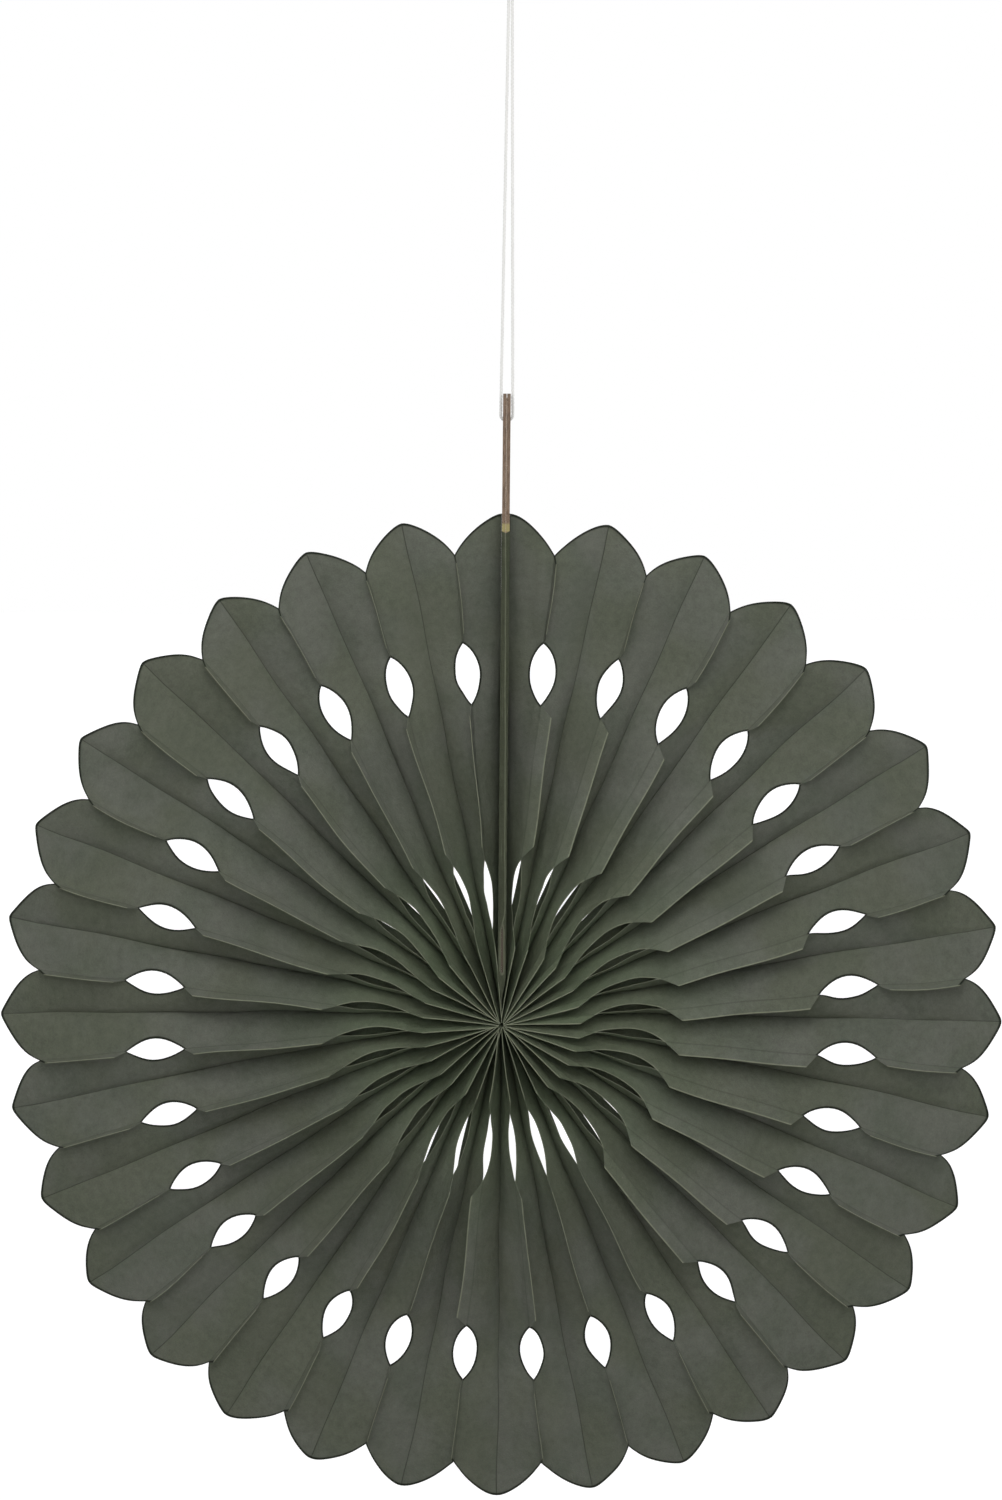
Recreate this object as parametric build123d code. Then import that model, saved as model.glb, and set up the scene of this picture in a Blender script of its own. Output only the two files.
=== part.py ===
# Paper fan medallion: a round fan of glued tissue leaves, opened through a full turn between two
# end cards, and hung by a string through the tab on top of the cards.
#
# Millimetres. The fan hangs in the XZ plane, its front looks towards -Y and +Z is up. The origin is
# where the string hangs: between its two strands, right under the knot that closes it.
from build123d import *
import os
from math import asin, cos, pi, radians, sin, sqrt, tan

# The fan as seen from the front
PETALS = 32
FAN_RADIUS = 203.2  # hub to petal tip: the fan is 16 inches across
NOTCH_RADIUS = 188.0  # hub to the notch between two petals
PETAL_BULGE = 1.7  # how far a petal's side bows out from the straight line, notch to tip
CARD_WEDGE = 0.9  # degrees of the circle left free for the end cards

# The leaves. Each is glued to one neighbour along its front edge and to the other along its back
SHEET = 0.25  # a leaf in the model; real tissue is near 0.03
GLUE_STRIP = 5.5  # the glued edge stands out in front of the fold line, and behind it
RIM_DEPTH = 4.4  # how deep the pleats still are at the notches
TIP_DEPTH = 3.0  # no stretch of a pleat lies flatter than this
HUB_GAP = 0.05  # between neighbouring leaves at their inner ends
PLEAT_STEPS = 4  # straight stretches that a pleat's bowed fold lines are made of

# The two rings of die-cut openings across the front fold lines
HOLE_RADIUS = 140.6  # hub to the middle of an outer, lens-shaped hole
HOLE_LENGTH = 24.0  # along the fold line
HOLE_DEPTH = 7.0  # across one leaf, measured from the fold line
SLIT_RADIUS = 54.0  # hub to the middle of an inner slit
SLIT_LENGTH = 28.0
SLIT_DEPTH = 6.5
CUT_FLARE = 4.5  # each end of a cut slants outward by this much across the glue strip
STRIP_END_SLANT = 3.5  # the same slant where the glue strip ends, at the notch

# The pressed inner ends of the leaves, round a hole as wide as a pin
HUB_HOLE = 1.2
HUB_LAP = 0.4  # how far the pressed core reaches in among the leaves

# The end cards and the tape between them
CARD_THICKNESS = 1.4
TAPE_THICKNESS = 0.2
TAPE_WIDTH = 12.0
TAPE_INSET = 25.0  # from the inner end of the cards to the tape, and from the tape to the fan's rim
TAB_LENGTH = 47.0  # above the petal tip
TAB_WIDTH = 16.0
TAB_CORNER = 5.0
CARD_SHOULDER = 6.5  # how far the wide part of a card stops short of the petal tip, at its front
CARD_FIT = 0.1  # between a card's leaf and the first fold line, where the card ends near the hub
LIP_GAP = 0.2  # between the two end leaves, where they are folded over the cards' front edges

# The string and the hole that it runs through
STRING_DIAMETER = 1.2
STRING_HOLE = 5.0
HOLE_BELOW_TOP = 11.8
STRING_DROP = 164.6  # from the origin to the centre of the string hole
KNOT_DIAMETER = 4.6
KNOT_HEIGHT = 4.2
KNOT_END_DIAMETER = 2.76  # where the knot's round side meets its flat ends
TAIL_LENGTH = 9.0
TAIL_SPREAD = 24.0  # degrees off the vertical

# The string's route: down one side of the cards, through the hole, and up the other side
STRING_POINTS = [(-0.65, 0, 0), (-2.4, 0, -163.1), (2.4, 0, -163.1), (0.65, 0, 0)]
STRING_RADII = [1.6, 1.6]

# How far a cutting shape runs past what it cuts
MARGIN = 2.0

# What follows from these
PITCH = (360 - CARD_WEDGE) / PETALS
SLOPE = tan(radians(PITCH / 2))  # half a pleat's width for each millimetre from the hub
LEAF_WIDTH = sqrt((NOTCH_RADIUS * SLOPE) ** 2 + RIM_DEPTH**2)  # fold line to fold line
HUB_RADIUS = (SHEET + HUB_GAP) / SLOPE
DEEPEST = LEAF_WIDTH / 2 + GLUE_STRIP  # from the fan's middle plane to a leaf's front or back edge
PAIR_HALF = CARD_THICKNESS + TAPE_THICKNESS / 2
HUB_Z = HOLE_BELOW_TOP - STRING_DROP - TAB_LENGTH - FAN_RADIUS
FIRST_FOLD = radians(CARD_WEDGE / 2 + PITCH / 2)  # the fold line next to the cards, off the vertical
CARD_START = (PAIR_HALF + 2 * SHEET + CARD_FIT) / tan(FIRST_FOLD)


def depth(radius):
    """How far the front fold line stands in front of the back one, at this distance from the hub."""
    reach = LEAF_WIDTH**2 - (radius * SLOPE) ** 2
    return sqrt(max(reach, TIP_DEPTH**2))


def pleat_section(radius):
    """One pleat cut square across its front fold line: a strip, two leaves and two half strips."""
    half, deep = radius * SLOPE, depth(radius) / 2
    run = half - SHEET
    fold = deep - SHEET * (sqrt(run**2 + (2 * deep) ** 2) - 2 * deep) / run
    right = [
        (SHEET, -deep - GLUE_STRIP),
        (SHEET, -deep),
        (half, fold),
        (half, deep + GLUE_STRIP),
        (run, deep + GLUE_STRIP),
        (run, deep),
    ]
    left = [(-x, y) for x, y in reversed(right)]
    outline = right + [(0, -fold)] + left
    return Wire.make_polygon([Vector(x, y, radius) for x, y in outline])


def pleat_stations():
    """Distances from the hub at which a pleat has opened by equal angles, and then the petal tip."""
    last = asin(NOTCH_RADIUS * SLOPE / LEAF_WIDTH)
    steps = PLEAT_STEPS - 1
    opened = [sin(last * step / steps) * LEAF_WIDTH / SLOPE for step in range(1, steps + 1)]
    return [HUB_RADIUS] + opened + [FAN_RADIUS + MARGIN]


def front_cut(middle, length, cut_depth):
    """The tool that cuts one opening across a front fold line, an arc with slanted ends."""
    start, end = middle - length / 2, middle + length / 2
    bottom = depth(middle) / 2 - cut_depth * depth(middle) / LEAF_WIDTH
    above = (GLUE_STRIP + MARGIN) / GLUE_STRIP
    edge = []
    for radius, way in ((start, -1), (end, 1)):
        fold = depth(radius) / 2
        edge.append((radius, -fold))
        edge.append((radius + way * CUT_FLARE * above, -fold - GLUE_STRIP * above))
    in_leaf, past_in, out_leaf, past_out = [Vector(0, y, z) for z, y in edge]
    outline = Wire(
        [
            Edge.make_three_point_arc(in_leaf, Vector(0, -bottom, middle), out_leaf),
            Edge.make_line(out_leaf, past_out),
            Edge.make_line(past_out, past_in),
            Edge.make_line(past_in, in_leaf),
        ]
    )
    reach = past_out.Z * SLOPE
    return extrude(Face(outline), amount=reach, dir=(1, 0, 0), both=True)


def strip_end_cut():
    """The tool that slants the front glue strip's end, where it meets the notch."""
    fold = depth(NOTCH_RADIUS) / 2
    above = (GLUE_STRIP + MARGIN) / GLUE_STRIP
    outline = Wire.make_polygon(
        [
            Vector(0, -fold, NOTCH_RADIUS),
            Vector(0, -fold - GLUE_STRIP * above, NOTCH_RADIUS - STRIP_END_SLANT * above),
            Vector(0, -fold - GLUE_STRIP * above, NOTCH_RADIUS + MARGIN),
            Vector(0, -fold, NOTCH_RADIUS + MARGIN),
        ]
    )
    return extrude(Face(outline), amount=2 * SHEET, dir=(1, 0, 0), both=True)


def petal_trim():
    """The tool that trims one pleat to two half petals, with the notch on the front fold line."""
    half = radians(PITCH / 2)
    notch = Vector(0, 0, NOTCH_RADIUS)
    tip = Vector(FAN_RADIUS * sin(half), 0, FAN_RADIUS * cos(half))
    side = tip - notch
    outward = Vector(-side.Z, 0, side.X).normalized()
    bow = (notch + tip) * 0.5 + outward * PETAL_BULGE
    past, top = FAN_RADIUS * SLOPE + MARGIN, FAN_RADIUS + 2 * MARGIN

    def mirrored(point):
        return Vector(-point.X, 0, point.Z)

    corner = Vector(past, 0, tip.Z)
    outline = Wire(
        [
            Edge.make_three_point_arc(notch, bow, tip),
            Edge.make_line(tip, corner),
            Edge.make_line(corner, Vector(past, 0, top)),
            Edge.make_line(Vector(past, 0, top), Vector(-past, 0, top)),
            Edge.make_line(Vector(-past, 0, top), mirrored(corner)),
            Edge.make_line(mirrored(corner), mirrored(tip)),
            Edge.make_three_point_arc(mirrored(tip), mirrored(bow), notch),
        ]
    )
    return extrude(Face(outline), amount=DEEPEST + MARGIN, dir=(0, 1, 0), both=True)


def pleat():
    """One pleat with its front fold line straight up from the hub, cut and trimmed."""
    body = Solid.make_loft([pleat_section(radius) for radius in pleat_stations()], ruled=True)
    tools = [
        front_cut(HOLE_RADIUS, HOLE_LENGTH, HOLE_DEPTH),
        front_cut(SLIT_RADIUS, SLIT_LENGTH, SLIT_DEPTH),
        strip_end_cut(),
        petal_trim(),
    ]
    return (Part() + body - tools).clean()


def hub_core():
    """The inner ends of all the leaves, pressed together round a pin hole."""
    inner, outer = HUB_HOLE / 2, HUB_RADIUS + HUB_LAP
    ring = Plane.XZ * (Circle(outer) - Circle(inner))
    return extrude(ring, amount=DEEPEST, both=True)


def end_leaf(side):
    """The last leaf, glued over a card's outer face and folded over the card's front edge."""
    shoulder = FAN_RADIUS - CARD_SHOULDER
    outline = Polyline(
        (-DEEPEST, CARD_START),
        (-DEEPEST, shoulder),
        (0, FAN_RADIUS),
        (DEEPEST, shoulder),
        (DEEPEST, CARD_START),
        close=True,
    )
    sheet = extrude(make_face(Plane.YZ * outline), amount=SHEET, dir=(side, 0, 0))
    near_middle, at_sheet = side * LIP_GAP / 2, side * PAIR_HALF
    lip = Box(
        abs(at_sheet - near_middle),
        SHEET,
        shoulder - CARD_START,
        align=(Align.CENTER, Align.MIN, Align.MIN),
    )
    lip_place = Location(((near_middle + at_sheet) / 2, -DEEPEST, CARD_START))
    return sheet.moved(Location((at_sheet, 0, 0))) + lip.moved(lip_place)


def card_slot():
    """The room that the cards take out of the pleats on either side of them."""
    slot = Box(
        2 * PAIR_HALF,
        2 * (DEEPEST + MARGIN),
        FAN_RADIUS + MARGIN - CARD_START,
        align=(Align.CENTER, Align.CENTER, Align.MIN),
    )
    return slot.moved(Location((0, 0, CARD_START)))


def tissue_fan():
    """All the leaves as one folded and glued body, about the hub."""
    one = pleat()
    turns = [CARD_WEDGE / 2 + PITCH * (index + 0.5) for index in range(PETALS)]
    pleats = [one.rotate(Axis.Y, turn) for turn in turns]
    for beside_the_cards in (0, -1):
        pleats[beside_the_cards] -= card_slot()
    return pleats[0].fuse(*pleats[1:], hub_core(), end_leaf(-1), end_leaf(1))


def card_blank():
    """One end card's outline as a face in the YZ plane: as wide as a leaf, with a tab on top."""
    under_lip = DEEPEST - SHEET
    shoulder = FAN_RADIUS - CARD_SHOULDER
    top = FAN_RADIUS + TAB_LENGTH
    half = TAB_WIDTH / 2
    blank = Polyline(
        (-under_lip, CARD_START),
        (-under_lip, shoulder),
        (-half, FAN_RADIUS),
        (-half, top),
        (half, top),
        (half, FAN_RADIUS),
        (DEEPEST, shoulder),
        (DEEPEST, CARD_START),
        close=True,
    )
    face = make_face(Plane.YZ * blank)
    top_corners = face.vertices().group_by(Axis.Z)[-1]
    return fillet(top_corners, TAB_CORNER)


def end_card(side):
    """A card on one side of the tape, with its string hole."""
    card = extrude(card_blank(), amount=CARD_THICKNESS, dir=(side, 0, 0))
    card = card.moved(Location((side * TAPE_THICKNESS / 2, 0, 0)))
    hole_z = FAN_RADIUS + TAB_LENGTH - HOLE_BELOW_TOP
    through = 2 * (PAIR_HALF + MARGIN)
    hole = Cylinder(STRING_HOLE / 2, through, rotation=(0, 90, 0))
    return card - hole.moved(Location((0, 0, hole_z)))


def card_tape():
    """The double-sided tape that holds the two cards face to face, and so the fan open."""
    length = FAN_RADIUS - CARD_START - 2 * TAPE_INSET
    tape = Box(TAPE_THICKNESS, TAPE_WIDTH, length, align=(Align.CENTER, Align.CENTER, Align.MIN))
    return tape.moved(Location((0, 0, CARD_START + TAPE_INSET)))


def string():
    """The string: both strands and the stretch through the hole, cut level under the knot."""
    points = [Vector(*point) for point in STRING_POINTS]
    start_way = (points[0] - points[1]).normalized()
    end_way = (points[-1] - points[-2]).normalized()
    first, last = points[0] + start_way * MARGIN, points[-1] + end_way * MARGIN
    route = FilletPolyline(first, *points[1:-1], last, radius=STRING_RADII)
    start = Plane(origin=first, z_dir=-start_way)
    tube = sweep(start * Circle(STRING_DIAMETER / 2), path=route)
    length = route.length - 2 * MARGIN
    turns = [
        (b - a).get_angle(c - b) for a, b, c in zip(points, points[1:], points[2:])
    ]
    print("string length", round(length, 1), "turns", [round(turn) for turn in turns])
    print("string radii", STRING_RADII, "diameter", STRING_DIAMETER)
    tube = split(tube, bisect_by=Plane.XY, keep=Keep.BOTTOM)
    wanted = length * pi * (STRING_DIAMETER / 2) ** 2
    print("string volume", round(tube.volume, 2), "section times length", round(wanted, 2))
    return tube


def knot():
    """The knot that closes the string into a loop, with the two cut ends above it."""
    bottom, top = Vector(0, 0, 0), Vector(0, 0, KNOT_HEIGHT)
    to_rim = Vector(KNOT_END_DIAMETER / 2, 0, 0)
    widest = Vector(KNOT_DIAMETER / 2, 0, KNOT_HEIGHT / 2)
    profile = Wire(
        [
            Edge.make_line(bottom, bottom + to_rim),
            Edge.make_three_point_arc(bottom + to_rim, widest, top + to_rim),
            Edge.make_line(top + to_rim, top),
            Edge.make_line(top, bottom),
        ]
    )
    body = Part() + revolve(Face(profile), Axis.Z, 360)
    for side in (-1, 1):
        tail = Cylinder(
            STRING_DIAMETER / 2,
            TAIL_LENGTH + KNOT_HEIGHT / 2,
            align=(Align.CENTER, Align.CENTER, Align.MIN),
        )
        place = Location((side * STRING_POINTS[-1][0], 0, KNOT_HEIGHT / 2))
        body += place * Rot(0, side * TAIL_SPREAD, 0) * tail
    return body


def main():
    hub = Location((0, 0, HUB_Z))
    nodes = {
        "tissue_fan": tissue_fan().moved(hub),
        "end_card_left": end_card(-1).moved(hub),
        "end_card_right": end_card(1).moved(hub),
        "card_tape": card_tape().moved(hub),
        "hanging_string": string(),
        "string_knot": knot(),
    }
    os.makedirs("parts", exist_ok=True)
    for name, solid in nodes.items():
        export_step(solid, f"parts/{name}.step")
        print(name, "volume", round(solid.volume, 1), "solids", len(solid.solids()))


main()
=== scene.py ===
# %% [markdown]
# # A paper fan medallion in Blender
# The object is a round fan of dark green-grey tissue. Sixty-four thin leaves are glued edge to edge,
# alternately along their front and their back edges, and two greyboard end cards open them through
# a full turn. The solid model gives every size and place, and this notebook makes what a solid
# model leaves out: sheets as thin as paper, crisp folds, cut edges and a string with real strands.

import math

import bpy
import numpy as np
from mathutils import Matrix, Vector


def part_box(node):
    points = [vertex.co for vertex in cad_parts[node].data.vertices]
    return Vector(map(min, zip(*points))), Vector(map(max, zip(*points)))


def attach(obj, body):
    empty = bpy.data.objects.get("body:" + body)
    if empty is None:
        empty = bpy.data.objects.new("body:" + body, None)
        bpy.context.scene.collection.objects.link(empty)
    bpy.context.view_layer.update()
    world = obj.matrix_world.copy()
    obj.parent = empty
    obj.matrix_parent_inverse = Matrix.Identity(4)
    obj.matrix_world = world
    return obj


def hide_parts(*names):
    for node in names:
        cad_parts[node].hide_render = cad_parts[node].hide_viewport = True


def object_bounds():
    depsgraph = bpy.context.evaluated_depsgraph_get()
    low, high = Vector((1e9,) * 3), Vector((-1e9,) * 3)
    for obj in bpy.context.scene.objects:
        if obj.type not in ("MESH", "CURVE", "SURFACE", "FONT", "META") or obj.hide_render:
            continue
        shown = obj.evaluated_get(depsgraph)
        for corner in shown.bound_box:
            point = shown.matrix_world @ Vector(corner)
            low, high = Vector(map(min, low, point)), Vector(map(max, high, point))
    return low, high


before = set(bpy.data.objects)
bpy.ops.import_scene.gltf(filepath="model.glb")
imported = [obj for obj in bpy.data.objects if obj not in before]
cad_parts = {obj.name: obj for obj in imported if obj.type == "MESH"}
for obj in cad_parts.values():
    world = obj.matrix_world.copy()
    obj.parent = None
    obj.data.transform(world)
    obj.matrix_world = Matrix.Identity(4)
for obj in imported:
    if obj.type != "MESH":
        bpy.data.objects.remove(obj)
cad_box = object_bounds()
MM = 0.001
print("nodes", sorted(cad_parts))

# %% [markdown]
# The fan's own sizes come from the box of its solid, so that the paper lands where the solid is.
# Only what the box can't tell is written down here, as the real size of the real thing.

# %% Sizes of the fan
fan_low, fan_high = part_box("tissue_fan")
HUB_HEIGHT = (fan_low.z + fan_high.z) / 2
FAN_RADIUS = (fan_high.x - fan_low.x) / 2
DEEPEST = fan_high.y
GLUE_STRIP = 5.5 * MM
LEAF_WIDTH = 2 * (DEEPEST - GLUE_STRIP)
PLEATS = 32
CARD_WEDGE = math.radians(0.9)
HALF_PLEAT = (2 * math.pi - CARD_WEDGE) / PLEATS / 2
NOTCH_RADIUS = FAN_RADIUS - 15.2 * MM
SHEET = 0.12 * MM
print("leaf", round(LEAF_WIDTH / MM, 2), "mm wide, fan radius", round(FAN_RADIUS / MM, 1), "mm")

# %% [markdown]
# The camera stands about a metre in front of the fan, a little above its middle, and looks down at
# it by under seven degrees. That is why the glued edges on both sides seem to sag. Its lens keeps
# the whole height of the picture, and it leans by half a degree, as the hanging string shows.

# %% The camera
CAMERA_PLACE = Vector((-1.1, -994.1, -177.1)) * MM
LOOKS_DOWN = math.radians(6.71)
LEANS = math.radians(0.51)
SENSOR = 36
LENS = 60


def add_object(name, data):
    """A new object in the scene, made of that data."""
    made = bpy.data.objects.new(name, data)
    bpy.context.scene.collection.objects.link(made)
    return made


ahead = Vector((0, math.cos(LOOKS_DOWN), -math.sin(LOOKS_DOWN)))
level_right = Vector((1, 0, 0))
level_up = Vector((0, math.sin(LOOKS_DOWN), math.cos(LOOKS_DOWN)))
right = level_right * math.cos(LEANS) + level_up * math.sin(LEANS)
up = level_up * math.cos(LEANS) - level_right * math.sin(LEANS)
turn = Matrix((right, up, -ahead)).transposed().to_4x4()
camera_data = bpy.data.cameras.new("camera")
camera_data.sensor_fit = "VERTICAL"
camera_data.sensor_height = SENSOR
camera_data.lens = LENS
camera = add_object("camera", camera_data)
camera.matrix_world = Matrix.Translation(CAMERA_PLACE) @ turn
bpy.context.scene.camera = camera
bpy.context.scene.view_settings.view_transform = "Standard"
print("camera", round(-CAMERA_PLACE.y, 2), "m in front of the fan")

# %% [markdown]
# Shader maths reads best as plain sums. This class wraps one socket of a material, and each sum on
# it adds the Math node that works it out. Anything that isn't a sum, such as a noise or a mix of
# colours, comes from the one method called node.


# %% A socket that does sums
class Value:
    """A socket of a material, which adds the nodes for the sums that it takes part in."""

    def __init__(self, tree, socket=None):
        self.tree = tree
        self.socket = socket

    def node(self, kind, settings=None, inputs=None, output=0):
        """Adds a node with these settings and inputs, and gives the value of one output."""
        made = self.tree.nodes.new(kind)
        for name, setting in (settings or {}).items():
            setattr(made, name, setting)
        for name, given in (inputs or {}).items():
            if isinstance(given, Value):
                self.tree.links.new(given.socket, made.inputs[name])
            else:
                made.inputs[name].default_value = given
        return Value(self.tree, made.outputs[output])

    def math(self, operation, *terms):
        return self.node("ShaderNodeMath", {"operation": operation}, dict(enumerate(terms)))

    def __add__(self, other):
        return self.math("ADD", self, other)

    def __sub__(self, other):
        return self.math("SUBTRACT", self, other)

    def __rsub__(self, other):
        return self.math("SUBTRACT", other, self)

    def __mul__(self, other):
        return self.math("MULTIPLY", self, other)

    def __abs__(self):
        return self.math("ABSOLUTE", self)

    __radd__ = __add__
    __rmul__ = __mul__

    def smooth(self, low, high, start=0, end=1):
        """Runs softly from start to end as the value goes from low to high."""
        settings = {"interpolation_type": "SMOOTHSTEP"}
        return self.node(
            "ShaderNodeMapRange", settings, {0: self, 1: low, 2: high, 3: start, 4: end}
        )

    def parts(self):
        """The three parts of a vector, each as a value."""
        split = self.node("ShaderNodeSeparateXYZ", inputs={0: self})
        sockets = split.socket.node.outputs
        return [Value(self.tree, sockets[index]) for index in range(3)]

    def noise(self, place, scale, detail=3, roughness=0.5):
        """A cloudy pattern round 0.5, with that many clouds to a unit of the place."""
        settings = {"noise_dimensions": "3D"}
        inputs = {"Vector": place, "Scale": scale, "Detail": detail, "Roughness": roughness}
        return self.node("ShaderNodeTexNoise", settings, inputs)

    def mix(self, factor, first, second, blend="MIX"):
        """A mix of two colours: input 6 and 7 of the node, and its output 2."""
        settings = {"data_type": "RGBA", "blend_type": blend}
        return self.node("ShaderNodeMix", settings, {0: factor, 6: first, 7: second}, 2)

    def bump(self, height, strength, distance):
        """A normal that makes the height show as relief."""
        return self.node(
            "ShaderNodeBump", inputs={"Strength": strength, "Distance": distance, "Height": height}
        )


def new_material(name):
    """A material, its shader node and a value to start the sums from."""
    material = bpy.data.materials.new(name)
    material.use_nodes = True
    return material, material.node_tree.nodes["Principled BSDF"], Value(material.node_tree)


def feed(tree, shader, **sockets):
    """Links values to the shader's sockets, or sets plain numbers on them."""
    for name, given in sockets.items():
        socket = shader.inputs[name.replace("_", " ")]
        if isinstance(given, Value):
            tree.links.new(given.socket, socket)
        else:
            socket.default_value = given


# %% [markdown]
# The string is limp, and the fan's weight pulls it straight: from the knot down one side of the
# card, through the hole in the tab and up again. Its line is one smooth spline. The four points of
# the solid's route steer it, with one more on each side of the hole, which keep its two runs
# straight. The real string is three strands laid round each other, so the strands are made as tubes
# that wind round that spline.

# %% The string's line
STRING_DIAMETER = 1.2 * MM
ROUTE = [
    (-0.65, 0, 0),
    (-2.36, 0, -158.6),
    (-2.4, 0, -163.1),
    (2.4, 0, -163.1),
    (2.36, 0, -158.6),
    (0.65, 0, 0),
]
ROUTE_STEPS = 24


def spline_points(name, route, resolution):
    """Points along the smooth spline that a route's points control, in metres."""
    curve = bpy.data.curves.new(name, "CURVE")
    curve.dimensions = "3D"
    curve.resolution_u = resolution
    spline = curve.splines.new("NURBS")
    spline.points.add(len(route) - 1)
    for point, place in zip(spline.points, route):
        point.co = (*(Vector(place) * MM), 1)
    spline.order_u = 3
    spline.use_endpoint_u = True
    guide = add_object(name, curve)
    bpy.context.view_layer.update()
    line = bpy.data.meshes.new_from_object(guide)
    points = [vertex.co.copy() for vertex in line.vertices]
    bpy.data.objects.remove(guide)
    bpy.data.meshes.remove(line)
    return points


string_line = spline_points("string_line", ROUTE, ROUTE_STEPS)
runs = [(b - a).length for a, b in zip(string_line, string_line[1:])]
print("string", round(sum(runs) / MM, 1), "mm along its spline, in", len(runs), "runs")

# %% [markdown]
# A strand's centre circles the string's own line. Even steps along the line keep the twist even, and
# two directions that are carried from step to step without turning keep it free of kinks.


# %% Even steps, and the directions square to them
def even_steps(line, step):
    """Points about one step apart along a line."""
    places = np.array(line)
    reach = np.concatenate([[0], np.cumsum(np.linalg.norm(np.diff(places, axis=0), axis=1))])
    count = max(2, round(reach[-1] / step) + 1)
    wanted = np.linspace(0, reach[-1], count)
    return np.stack([np.interp(wanted, reach, places[:, axis]) for axis in range(3)], 1)


def carried_frames(points):
    """Two directions square to the line at each point, carried along it without twisting."""
    ways = np.gradient(points, axis=0)
    ways /= np.linalg.norm(ways, axis=1)[:, None]
    side = np.cross(ways[0], (0, 1, 0))
    if np.linalg.norm(side) < 0.1:
        side = np.cross(ways[0], (1, 0, 0))
    sides = []
    for way in ways:
        side = side - way * (side @ way)
        side = side / np.linalg.norm(side)
        sides.append(side)
    sides = np.array(sides)
    return sides, np.cross(ways, sides)


print("even steps of 1 mm along the string:", len(even_steps(string_line, 1 * MM)))

# %% [markdown]
# A tube is a ring of points at each step, joined to the next ring by faces and closed by a cap at
# both ends. Three thin tubes, each a third of a turn round from the one before, are the strands.
# A curve with a round bevel could make them too, but the line that each follows has to be worked
# out point by point all the same.

# %% A tube, and strands laid round a line
STRANDS = 3
LAY_LENGTH = 4.2 * MM
STEPS_A_TURN = 10
STRAND_SIDES = 7


def add_tube(points, radius, around, rings, faces):
    """Adds one closed tube of that radius along the points to the lists rings and faces."""
    first = len(rings)
    sides, others = carried_frames(points)
    for place, side, other in zip(points, sides, others):
        for index in range(around):
            angle = 2 * math.pi * index / around
            rings.append(place + radius * (side * math.cos(angle) + other * math.sin(angle)))
    for ring in range(len(points) - 1):
        low = first + ring * around
        for index in range(around):
            after = (index + 1) % around
            faces.append((low + index, low + after, low + around + after, low + around + index))
    last = first + (len(points) - 1) * around
    faces.append(tuple(first + index for index in reversed(range(around))))
    faces.append(tuple(last + index for index in range(around)))


def laid_string(line, diameter, rings, faces, start=0.0):
    """Adds strands laid round a line, together as thick as the string, to rings and faces."""
    strand = diameter / 2 / (1 + 1 / math.sin(math.pi / STRANDS))
    circle = diameter / 2 - strand
    points = even_steps(line, LAY_LENGTH / STEPS_A_TURN)
    sides, others = carried_frames(points)
    turned = np.arange(len(points)) * 2 * math.pi / STEPS_A_TURN + start
    for index in range(STRANDS):
        angle = (turned + 2 * math.pi * index / STRANDS)[:, None]
        path = points + circle * (sides * np.cos(angle) + others * np.sin(angle))
        add_tube(path, strand, STRAND_SIDES, rings, faces)


# %% [markdown]
# Lists of points and faces become a piece here. Its faces are turned outwards in edit mode, because
# a tube that winds round another line can come out with its faces turned in.


# %% The string
def select_only(piece):
    """Leaves nothing selected but this piece, and makes it the active one."""
    bpy.ops.object.select_all(action="DESELECT")
    piece.select_set(True)
    bpy.context.view_layer.objects.active = piece


def new_piece(name, rings, faces):
    """A mesh object with its faces turned outwards."""
    mesh = bpy.data.meshes.new(name)
    mesh.from_pydata([tuple(place) for place in rings], [], faces)
    piece = add_object(name, mesh)
    select_only(piece)
    bpy.ops.object.mode_set(mode="EDIT")
    bpy.ops.mesh.select_all(action="SELECT")
    bpy.ops.mesh.normals_make_consistent(inside=False)
    bpy.ops.object.mode_set(mode="OBJECT")
    return piece


rings, faces = [], []
laid_string(string_line, STRING_DIAMETER, rings, faces)
string = new_piece("string", rings, faces)
print("string mesh", len(faces), "faces")

# %% [markdown]
# Above the frame's origin the string's two ends are tied together in an overhand knot, side by
# side, and stand out above it as two short tails. The knot's line goes up, once round in front,
# back through its own loop and out at the top. Both ends follow it, a string's width apart.

# %% The knot
KNOT_LINES = [
    [(-0.65, 0, 0), (-0.6, 0.2, 1.2), (1.2, -1.2, 2.2), (2.3, -0.6, 3.3), (1.2, 1.3, 3.9),
     (-1.4, 1.2, 3.2), (-2.0, -0.6, 2.0), (-0.6, -1.5, 1.6), (0.5, -0.2, 2.6), (-0.3, 0.4, 4.4),
     (-1.4, 0.1, 6.2), (-3.1, -0.2, 9.4), (-4.6, 0.1, 12.0)],
    [(0.65, 0, 0), (0.5, 0.9, 1.1), (2.0, -0.2, 1.5), (1.6, -1.6, 3.1), (0.1, -1.3, 4.0),
     (-1.8, -0.3, 3.9), (-1.6, 1.4, 2.4), (0.4, 1.5, 2.0), (1.0, 0.4, 3.4), (0.8, -0.2, 4.8),
     (1.6, 0.2, 6.6), (3.0, 0.4, 9.4), (4.8, -0.2, 12.1)],
]
KNOT_STEPS = 12

rings, faces = [], []
for index, route in enumerate(KNOT_LINES):
    line = spline_points("knot_line", route, KNOT_STEPS)
    laid_string(line, STRING_DIAMETER, rings, faces, start=index)
knot = new_piece("string_knot_tied", rings, faces)
print("knot mesh", len(faces), "faces")

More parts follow.
